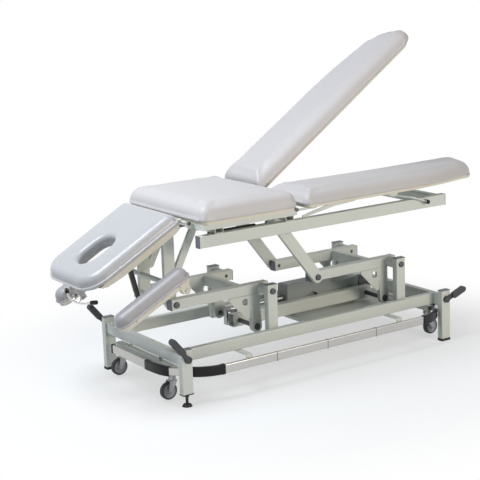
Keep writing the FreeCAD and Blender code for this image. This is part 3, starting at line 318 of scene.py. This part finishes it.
def ringPiece(rings, closed):
    # a skin through rings of equally many points, the first made by the circle operator
    mesh = bmesh.new()
    count = len(rings[0])
    first = bmesh.ops.create_circle(mesh, segments=count, radius=0.1)["verts"]
    loops = [first]
    for _ in rings[1:]:
        edges = [loops[-1][i].link_edges for i in range(count)]
        border = []
        for i in range(count):
            pair = {loops[-1][i], loops[-1][(i + 1) % count]}
            border.append(next(e for e in edges[i] if set(e.verts) == pair))
        made = bmesh.ops.extrude_edge_only(mesh, edges=border)["geom"]
        fresh = set(v for v in made if isinstance(v, bmesh.types.BMVert))
        loops.append([next(e.other_vert(v) for e in v.link_edges if e.other_vert(v) in fresh)
                      for v in loops[-1]])
    for loop, ring in zip(loops, rings):
        for vertex, point in zip(loop, ring):
            vertex.co = point
    ends = [[next(e for e in loop[i].link_edges if e.other_vert(loop[i]) == loop[(i + 1) % count])
             for i in range(count)] for loop in (loops[0], loops[-1])]
    if closed:
        bmesh.ops.bridge_loops(mesh, edges=ends[0] + ends[1])
    else:
        for edges in ends:
            bmesh.ops.contextual_create(mesh, geom=edges)
    return mesh


def rodBetween(name, start, end, radius, rounding, finish, body, sides=24):
    mesh = bmesh.new()
    run = Vector(end) - Vector(start)
    bmesh.ops.create_cone(mesh, cap_ends=True, segments=sides, radius1=radius, radius2=radius,
                          depth=run.length)
    rims = [e for e in mesh.edges if len(e.link_faces) == 2
            and any(len(f.verts) > 4 for f in e.link_faces)]
    bmesh.ops.bevel(mesh, geom=rims, offset=rounding, segments=4, profile=0.5, affect="EDGES", material=-1)
    turn = run.to_track_quat("Z", "Y").to_matrix().to_4x4()
    place = Matrix.Translation((Vector(start) + Vector(end)) / 2) @ turn
    bmesh.ops.transform(mesh, matrix=place, verts=mesh.verts)
    return finished(name, mesh, finish, body)


def platePiece(name, low, high, rounding, finish, body, place=None):
    mesh = bmesh.new()
    size = Vector(high) - Vector(low)
    centre = (Vector(low) + Vector(high)) / 2
    bmesh.ops.create_cube(mesh, size=1.0, matrix=Matrix.Translation(centre) @ Matrix.Diagonal((*size, 1.0)))
    bmesh.ops.bevel(mesh, geom=mesh.edges, offset=rounding, segments=3, profile=0.5, affect="EDGES",
                    material=-1)
    if place:
        bmesh.ops.transform(mesh, matrix=place, verts=mesh.verts)
    return finished(name, mesh, finish, body, smooth=False)


# Upholstered cushions: a soft-edged foam shape, blown up as cloth and smoothed over its board

upholstery = {"voxel": 0.006, "shrink": 0.0025, "pressure": 4.0, "cap": 0.007, "lastFrame": 20,
              "held": 0.008, "tension": 20.0, "points": 160, "smoothing": 6, "crown": 0.92}
midPlan = {"corners": [(-0.580, -0.311, 0.045), (-0.090, -0.311, 0.045), (-0.090, 0.311, 0.045),
                       (-0.580, 0.311, 0.045)], "edge": 0.044}
legPlan = {"corners": [(0.047, 0.003, 0.010), (1.128, 0.003, 0.0745), (1.128, 0.1788, 0.176),
                       (1.0065, 0.2386, 0.060), (0.8256, 0.2921, 1.40), (0.047, 0.303, 0.024)], "edge": 0.046}


def upholstered(name, nodeName, body, plan, place):
    low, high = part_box(nodeName)
    bottom, top = low.z, high.z
    shrink, edge = upholstery["shrink"], plan["edge"]
    flank = bottom + 0.26 * (top - bottom)
    levels = [(0.004, bottom), (0.0008, bottom + 0.0008), (0.0, bottom + 0.003), (0.0, flank)]
    for step in range(1, 13):
        angle = math.radians(90 * step / 12)
        levels.append((edge * (1 - math.cos(angle) ** upholstery["crown"]),
                       flank + (top - shrink - flank) * math.sin(angle)))
    rings = []
    for inset, height in levels:
        ring = outlinePoints(plan["corners"], inset + shrink, upholstery["points"])
        rings.append([place(p.x, p.y, height) for p in ring])
    piece = finished(name, ringPiece(rings, False), "calenderedVinyl", body)
    bpy.context.view_layer.objects.active = piece
    remesh = piece.modifiers.new("EvenMesh", "REMESH")
    remesh.mode = "VOXEL"
    remesh.voxel_size = upholstery["voxel"]
    bpy.ops.object.modifier_apply(modifier=remesh.name)
    evened(piece, bottom)
    blowUp(piece, bottom)
    evened(piece, bottom)
    for polygon in piece.data.polygons:
        polygon.use_smooth = True
    subdivided(piece, 1)
    bpy.ops.object.modifier_apply(modifier="Rounding")
    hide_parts(nodeName)
    return piece


def evened(piece, bottom):
    # the voxel steps are smoothed out, and the underside stays flat on its board
    smooth = piece.modifiers.new("Even", "SMOOTH")
    smooth.factor = 0.5
    smooth.iterations = upholstery["smoothing"]
    bpy.ops.object.modifier_apply(modifier=smooth.name)
    for vertex in piece.data.vertices:
        if vertex.co.z < bottom + 0.0015:
            vertex.co.z = bottom


def blowUp(piece, bottom):
    scene = bpy.context.scene
    before = [v.co.copy() for v in piece.data.vertices]
    held = piece.vertex_groups.new(name="held")
    held.add([i for i, co in enumerate(before) if co.z < bottom + upholstery["held"]], 1.0, "REPLACE")
    cloth = piece.modifiers.new("Blow", "CLOTH")
    cloth.settings.use_pressure = True
    cloth.settings.uniform_pressure_force = upholstery["pressure"]
    cloth.settings.vertex_group_mass = held.name
    cloth.settings.tension_stiffness = upholstery["tension"]
    cloth.settings.compression_stiffness = upholstery["tension"]
    cloth.settings.effector_weights.gravity = 0.0
    cloth.point_cache.frame_start = 1
    cloth.point_cache.frame_end = upholstery["lastFrame"]
    for step in range(1, upholstery["lastFrame"] + 1):
        scene.frame_set(step)
    bpy.ops.object.modifier_apply(modifier=cloth.name)
    piece.vertex_groups.clear()
    for vertex, start in zip(piece.data.vertices, before):
        move = vertex.co - start
        if move.length > upholstery["cap"]:
            vertex.co = start + move.normalized() * upholstery["cap"]
        vertex.co.z = max(vertex.co.z, bottom)
    scene.frame_set(1)


midCushion = upholstered("midCushion", "mid_cushion", "upper_frame", midPlan, lambda x, y, z: Vector((x, y, z)))
legNearCushion = upholstered("legNearCushion", "leg_near_cushion", "leg_near", legPlan,
                             lambda x, y, z: Vector((legHinge.x + x, -y, z)))
farData = legNearCushion.data.copy()
farData.transform(legUp @ Matrix.Diagonal((1, -1, 1, 1)) @ legDown.inverted())
farData.flip_normals()
legFarCushion = bpy.data.objects.new("legFarCushion", farData)
bpy.context.scene.collection.objects.link(legFarCushion)
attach(legFarCushion, "leg_far")
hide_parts("leg_far_cushion")
print("cushions:", [len(c.data.polygons) for c in (midCushion, legNearCushion, legFarCushion)])


# Head pad: moulded foam with a thin lip round its base and a rolled face hole

headPad = {
    "corners": [(-0.011, 0.210, 0.030), (-0.494, 0.205, 0.100), (-0.494, -0.205, 0.100),
                (-0.011, -0.210, 0.030)],
    "bottom": 0.022, "top": 0.065, "lip": 0.004, "lipIn": 0.006, "shoulder": 0.032, "crown": 0.0015,
    "holeX": -0.309, "holeHalf": (0.085, 0.059), "roll": 0.024, "points": 120,
}


def holeRing(grow, height):
    half, wide = headPad["holeHalf"][0] + grow, headPad["holeHalf"][1] + grow
    x = headPad["holeX"]
    corners = [(x + half, wide, wide), (x - half, wide, wide), (x - half, -wide, wide), (x + half, -wide, wide)]
    return [Vector((p.x, p.y, height)) for p in outlinePoints(corners, 0.0, headPad["points"])]


def headRing(inset, height):
    points = outlinePoints(headPad["corners"], inset, headPad["points"])
    return [Vector((p.x, p.y, height)) for p in points]


def mouldedHeadPad():
    bottom, top, lip = headPad["bottom"], headPad["top"], headPad["lip"]
    shoulder, roll, lipIn = headPad["shoulder"], headPad["roll"], headPad["lipIn"]
    rings = [headRing(lipIn + 0.004, bottom), headRing(0.001, bottom), headRing(0.0, bottom + 0.001),
             headRing(0.0, bottom + lip), headRing(0.001, bottom + lip + 0.001),
             headRing(lipIn, bottom + lip + 0.0015), headRing(lipIn + 0.001, bottom + lip + 0.003)]
    for step in range(0, 9):
        angle = math.radians(90 * step / 8)
        rings.append(headRing(lipIn + 0.003 + shoulder * (1 - math.cos(angle)),
                              top - shoulder + shoulder * math.sin(angle)))
    outer, inner = rings[-1], holeRing(roll, top)
    for step in range(1, 7):
        share = step / 7
        lift = headPad["crown"] * math.sin(math.pi * share)
        rings.append([a.lerp(b, share) + Vector((0, 0, lift)) for a, b in zip(outer, inner)])
    for step in range(0, 8):
        angle = math.radians(90 * step / 7)
        rings.append(holeRing(roll * (1 - math.sin(angle)), top - roll + roll * math.cos(angle)))
    rings += [holeRing(0.0, bottom + 0.006), holeRing(0.0, bottom + 0.001), holeRing(0.002, bottom)]
    return [[headPlace @ point for point in ring] for ring in rings]


pad = finished("headPad", ringPiece(mouldedHeadPad(), True), "mouldedFoamSkin", "head_section")
subdivided(pad, 2)
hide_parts("head_cushion")
print("head pad built")


# Armrest pads: moulded foam domes on a lip

armrestPad = {"x0": -0.3283, "x1": 0.0437, "half": 0.045, "bottom": 0.0545, "top": 0.1005, "lip": 0.004,
              "points": 96}


def armrestRing(inset, height, y):
    x0, x1, half = armrestPad["x0"], armrestPad["x1"], armrestPad["half"]
    corners = [(x1, half, half), (x0, half, half), (x0, -half, half), (x1, -half, half)]
    points = outlinePoints(corners, inset, armrestPad["points"])
    return [armrestPlace @ Vector((p.x, p.y + y, height)) for p in points]


def mouldedArmrest(name, side, nodeName, body):
    y = side * armrestY
    bottom, top, lip = armrestPad["bottom"], armrestPad["top"], armrestPad["lip"]
    rings = [armrestRing(0.006, bottom, y), armrestRing(0.001, bottom, y), armrestRing(0.0, bottom + 0.001, y),
             armrestRing(0.0, bottom + lip, y), armrestRing(0.001, bottom + lip + 0.001, y),
             armrestRing(0.005, bottom + lip + 0.0015, y)]
    flank = bottom + lip + 0.008
    for step in range(0, 13):
        angle = math.radians(88 * step / 12)
        rings.append(armrestRing(0.006 + 0.038 * (1 - math.cos(angle) ** 0.8), flank
                                 + (top - flank) * math.sin(angle), y))
    # the armrest pads take the darker copy of the foam skin: painted shade from the couch above
    piece = finished(name, ringPiece(rings, False), "armrestFoamSkin", body)
    subdivided(piece, 1)
    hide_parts(nodeName)
    return piece


mouldedArmrest("armrestNearPad", -1, "armrest_near_pad", "armrest_near")
mouldedArmrest("armrestFarPad", 1, "armrest_far_pad", "armrest_far")


# Castor wheels: tread, dished centre and axle ends

castorWheel = {"radius": 0.036, "wide": 0.024, "tread": 0.007, "dish": 0.005, "hub": 0.010, "steps": 56}


def castorWheelPiece(nodeName, body):
    low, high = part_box(nodeName)
    centre = (low + high) / 2
    reach = (high.y - low.y) / 2
    r, w, t = castorWheel["radius"], castorWheel["wide"] / 2, castorWheel["tread"]
    hub, dish = castorWheel["hub"], castorWheel["dish"]
    profile = [(0.0005, reach), (0.0035, reach), (0.004, reach - 0.0008), (0.004, w + 0.0015),
               (hub - 0.001, w + 0.0015), (hub, w + 0.0005), (hub + 0.002, w - dish + 0.001),
               (hub + 0.004, w - dish), (r - t - 0.003, w - dish), (r - t - 0.001, w - dish + 0.001),
               (r - t, w - 0.001), (r - t + 0.001, w), (r - 0.004, w), (r - 0.0015, w - 0.0015),
               (r, w - 0.004)]
    half = [(a, b) for a, b in profile] + [(a, -b) for a, b in reversed(profile)]
    mesh = bmesh.new()
    verts = [mesh.verts.new(centre + Vector((a, b, 0))) for a, b in half]
    edges = [mesh.edges.new(pair) for pair in zip(verts, verts[1:])]
    bmesh.ops.spin(mesh, geom=verts + edges, cent=centre, axis=(0, 1, 0), angle=math.tau,
                   steps=castorWheel["steps"], use_merge=True)
    piece = finished(nodeName + "_tyred", mesh, ("rubberTread", "mouldedNylon", "zincPlatedSteel"), body)
    for polygon in piece.data.polygons:
        away = math.hypot(polygon.center.x - centre.x, polygon.center.z - centre.z)
        polygon.material_index = 0 if away > r - t else (2 if away < 0.0042 else 1)
    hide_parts(nodeName)


bodyOf = {n: b for b, names in frame["record"]["behaviour"]["bodies"].items() for n in names}
for end in ("head", "foot"):
    for side in ("near", "far"):
        wheelNode = "castor_" + end + "_" + side + "_wheel"
        castorWheelPiece(wheelNode, bodyOf[wheelNode])
print("wheels built")


# Foot bar's corners: two black elbows and a grey tube between them, cut across behind each leg

barCorner = {"bend": ((0.529, -0.352), (0.601, -0.352), (0.655, -0.298)),
             "turn": ((0.7165, -0.2365), (0.745, -0.200), (0.740, -0.097)),
             "thick": 0.019, "tall": 0.041, "tubeThick": 0.013, "tubeTall": 0.034, "steps": 14,
             "middle": 0.1305, "clamp": 0.0022, "plugHalf": 0.0085, "plugLow": (0.1775, 0.111),
             "plugHigh": (0.192, 0.150)}


def barSection(centre, along, thick, tall, rounding):
    # rounded rectangle across the bar, as one ring of points
    side = Vector((-along.y, along.x, 0)).normalized()
    corners = [(thick / 2, tall / 2, rounding), (-thick / 2, tall / 2, rounding),
               (-thick / 2, -tall / 2, rounding), (thick / 2, -tall / 2, rounding)]
    return [centre + side * p.x + Vector((0, 0, p.y)) for p in outlinePoints(corners, 0.0, 24)]


def curvePoint(three, share):
    first, middle, last = (Vector((x, y, barCorner["middle"])) for x, y in three)
    place = first * (1 - share) ** 2 + middle * 2 * share * (1 - share) + last * share ** 2
    return place, ((middle - first) * (1 - share) + (last - middle) * share).normalized()


def barElbow(name, sx, three, clampFirst):
    steps = barCorner["steps"]
    rings = []
    for step in range(steps + 1):
        share = step / steps
        place, along = curvePoint(three, share)
        place.x *= sx
        along.x *= sx
        swell = barCorner["clamp"] if (share < 0.10 if clampFirst else share > 0.90) else 0.0
        if step in (0, steps):
            rings.append(barSection(place, along, barCorner["thick"] - 0.001, barCorner["tall"] - 0.001, 0.004))
        rings.append(barSection(place, along, barCorner["thick"] + swell, barCorner["tall"] + swell, 0.005))
    return finished(name, ringPiece(rings, False), "polishedNylon", bodyOf["foot_bar"], False)


for end, sx in (("Head", -1), ("Foot", 1)):
    elbow = barElbow("barElbowNear" + end, sx, barCorner["bend"], True)
    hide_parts("foot_bar_corners")
    barElbow("barElbowEnd" + end, sx, barCorner["turn"], False)
    first = Vector((sx * barCorner["bend"][2][0], barCorner["bend"][2][1], barCorner["middle"]))
    last = Vector((sx * barCorner["turn"][0][0], barCorner["turn"][0][1], barCorner["middle"]))
    along = (last - first).normalized()
    rings = [barSection(first - along * 0.01, along, barCorner["tubeThick"], barCorner["tubeTall"], 0.002),
             barSection(last + along * 0.01, along, barCorner["tubeThick"], barCorner["tubeTall"], 0.002)]
    finished("barCutTube" + end, ringPiece(rings, False), "anodisedAluminium", bodyOf["foot_bar"],
             False)
    plugX, plugHalf = sx * barCorner["turn"][2][0], barCorner["plugHalf"]
    platePiece("barEndPlug" + end, (plugX - plugHalf, *barCorner["plugLow"]),
               (plugX + plugHalf, *barCorner["plugHigh"]), 0.002, "polishedNylon", bodyOf["foot_bar"])


# Small parts: joint bands, grips, knobs, screws, ends of the hinge rods and the strip beside the gas spring

smallParts = {"barJoints": (-0.273, -0.009, 0.256), "jointWide": 0.003, "proud": 0.0006, "barThick": 0.015,
              "leverKnob": Vector((0.714, 0.295, -0.062)), "leverRun": Vector((0.072, 0.003, -0.026)),
              "barEnd": Vector((-0.474, 0.106, -0.060)), "barRun": Vector((0.010, 0.024, 0.0)),
              "screwXs": (-0.255, -0.030), "screwOut": 0.0372, "screwHeight": 0.045, "screwProud": 0.002,
              "headRodEnd": 0.228, "legPinEnd": 0.2943, "capProud": 0.003}
headStrut = {"foot": Vector((-0.708, 0.0, 0.380)), "top": Vector((-0.764, 0.0, 0.610)),
             "stripLow": (-0.0165, -0.007, 0.030), "stripHigh": (-0.0108, 0.007, 0.176)}

low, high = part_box("foot_bar")
for index, x in enumerate(smallParts["barJoints"]):
    proud, half = smallParts["proud"], smallParts["jointWide"] / 2
    platePiece("barJoint%d" % index, (x - half, low.y - proud, low.z - proud),
               (x + half, low.y + smallParts["barThick"] + proud, high.z + proud), 0.0004, "polyethylenePlug",
               bodyOf["foot_bar"])

for name, matrix, side, body in (("legNearGrip", legDown, -1, "leg_near"), ("legFarGrip", legUp, 1, "leg_far")):
    knob, run = smallParts["leverKnob"].copy(), smallParts["leverRun"].normalized()
    knob.y *= side
    run.y *= side
    rodBetween(name, matrix @ (knob - run * 0.013), matrix @ (knob + run * 0.015), 0.0095, 0.005,
               "polishedNylon", body)

for name, side in (("releaseKnobNear", -1), ("releaseKnobFar", 1)):
    start, run = smallParts["barEnd"].copy(), smallParts["barRun"].copy()
    start.y *= side
    run.y *= side
    rodBetween(name, headPlace @ (start - run * 0.15), headPlace @ (start + run * 1.1), 0.0088, 0.003,
               "polishedNylon", "head_section")

for side, name, body in ((-1, "Near", "armrest_near"), (1, "Far", "armrest_far")):
    for index, x in enumerate(smallParts["screwXs"]):
        face = side * (armrestY + smallParts["screwOut"])
        start = armrestPlace @ Vector((x, face, smallParts["screwHeight"]))
        end = armrestPlace @ Vector((x, face + side * smallParts["screwProud"], smallParts["screwHeight"]))
        rodBetween("armrest%sScrew%d" % (name, index), start, end, 0.0035, 0.0008, "zincPlatedSteel", body)
run = (headStrut["top"] - headStrut["foot"]).normalized()
strutPlace = Matrix.Translation(headStrut["foot"]) @ run.to_track_quat("Z", "Y").to_matrix().to_4x4()
platePiece("strutStrip", headStrut["stripLow"], headStrut["stripHigh"], 0.0012, "passivatedSteel",
           "head_strut_body", strutPlace)

for side, label in ((-1, "Near"), (1, "Far")):
    for name, hinge, reach, radius in (("headHingeEnd", headHinge, smallParts["headRodEnd"], 0.0085),
                                       ("legHingeEnd", legHinge, smallParts["legPinEnd"], 0.0082)):
        start = Vector((hinge.x, side * reach, hinge.z))
        end = start + Vector((0, side * smallParts["capProud"], 0))
        rodBetween(name + label, start, end, radius, 0.001, "phosphatedSteel", "upper_frame")
print("small parts built")


# Floor, light and camera

studio = {"floorHalf": 14.0, "floorColour": "#E4E7E7", "fadeFrom": 0.7, "fadeTo": 1.6, "lift": 0.55,
          "worldColour": "#D6E2EE", "worldStrength": 0.19,
          "lamps": (("softTop", (-1.9, 0.2, 3.2), (-0.4, 0.0, 0.6), 2.0, 135.0, "#F2F7FF"),
                    ("frontRight", (1.4, -4.6, 1.5), (0.1, 0.0, 0.5), 1.6, 112.0, "#FFF4E6"))}

mesh = bmesh.new()
bmesh.ops.create_grid(mesh, x_segments=1, y_segments=1, size=studio["floorHalf"])
data = bpy.data.meshes.new("floor")
mesh.to_mesh(data)
mesh.free()
floor = bpy.data.objects.new("floor", data)
bpy.context.scene.collection.objects.link(floor)

material = bpy.data.materials.new("paintedFloor")
material.use_nodes = True
tree = material.node_tree
tree.nodes.clear()
place = addNode(tree, "TexCoord").outputs["Object"]
away = addNode(tree, "VectorMath", {"operation": "LENGTH"}, {0: place})
fade = addNode(tree, "MapRange", {"From Min": studio["fadeFrom"], "From Max": studio["fadeTo"],
                                  "To Min": studio["lift"], "interpolation_type": "SMOOTHSTEP"},
               {"Value": away.outputs["Value"]})
path = addNode(tree, "LightPath")
seen = addNode(tree, "Math", {"operation": "MAXIMUM"}, {0: path.outputs["Is Camera Ray"],
                                                       1: path.outputs["Is Glossy Ray"]})
white = addNode(tree, "Math", {"operation": "MULTIPLY"}, {0: fade.outputs[0], 1: seen.outputs[0]})
paint = addNode(tree, "BsdfDiffuse", {"Color": linear(studio["floorColour"])})
glow = addNode(tree, "Emission", {"Color": (1, 1, 1, 1), "Strength": 1.0})
both = addNode(tree, "MixShader", links={0: white.outputs[0], 1: paint.outputs[0], 2: glow.outputs[0]})
addNode(tree, "OutputMaterial", links={"Surface": both.outputs[0]})
data.materials.append(material)

world = bpy.data.worlds.new("studio")
bpy.context.scene.world = world
world.use_nodes = True
tree = world.node_tree
tree.nodes.clear()
path = addNode(tree, "LightPath")
seen = addNode(tree, "Math", {"operation": "MAXIMUM"}, {0: path.outputs["Is Camera Ray"],
                                                       1: path.outputs["Is Glossy Ray"]})
seen = addNode(tree, "Math", {"operation": "MAXIMUM"}, {0: seen.outputs[0],
                                                       1: path.outputs["Is Transmission Ray"]})
ambient = addNode(tree, "Background", {"Color": linear(studio["worldColour"]),
                                       "Strength": studio["worldStrength"]})
backdrop = addNode(tree, "Background", {"Color": (1, 1, 1, 1), "Strength": 1.0})
both = addNode(tree, "MixShader", links={0: seen.outputs[0], 1: ambient.outputs[0], 2: backdrop.outputs[0]})
addNode(tree, "OutputWorld", links={"Surface": both.outputs[0]})

for name, where, target, size, power, colour in studio["lamps"]:
    lamp = bpy.data.lights.new(name, "AREA")
    lamp.size = size
    lamp.energy = power
    lamp.color = linear(colour)[:3]
    holder = bpy.data.objects.new(name, lamp)
    bpy.context.scene.collection.objects.link(holder)
    holder.location = where
    holder.rotation_euler = (Vector(target) - Vector(where)).to_track_quat("-Z", "Y").to_euler()

view = {"place": (-3.1991, -4.5018, 1.7402), "yaw": 33.7, "pitch": 12.4, "roll": -2.1, "lens": 96.72}
camera = bpy.data.objects.new("camera", bpy.data.cameras.new("camera"))
bpy.context.scene.collection.objects.link(camera)
camera.data.sensor_width = 36.0
camera.data.lens = view["lens"]
camera.data.clip_end = 60.0
camera.matrix_world = (Matrix.Translation(view["place"]) @ Matrix.Rotation(math.radians(-view["yaw"]), 4, "Z")
                       @ Matrix.Rotation(math.radians(90 - view["pitch"]), 4, "X")
                       @ Matrix.Rotation(math.radians(view["roll"]), 4, "Z"))
bpy.context.scene.camera = camera
bpy.context.scene.view_settings.view_transform = "Standard"
print("studio ready")
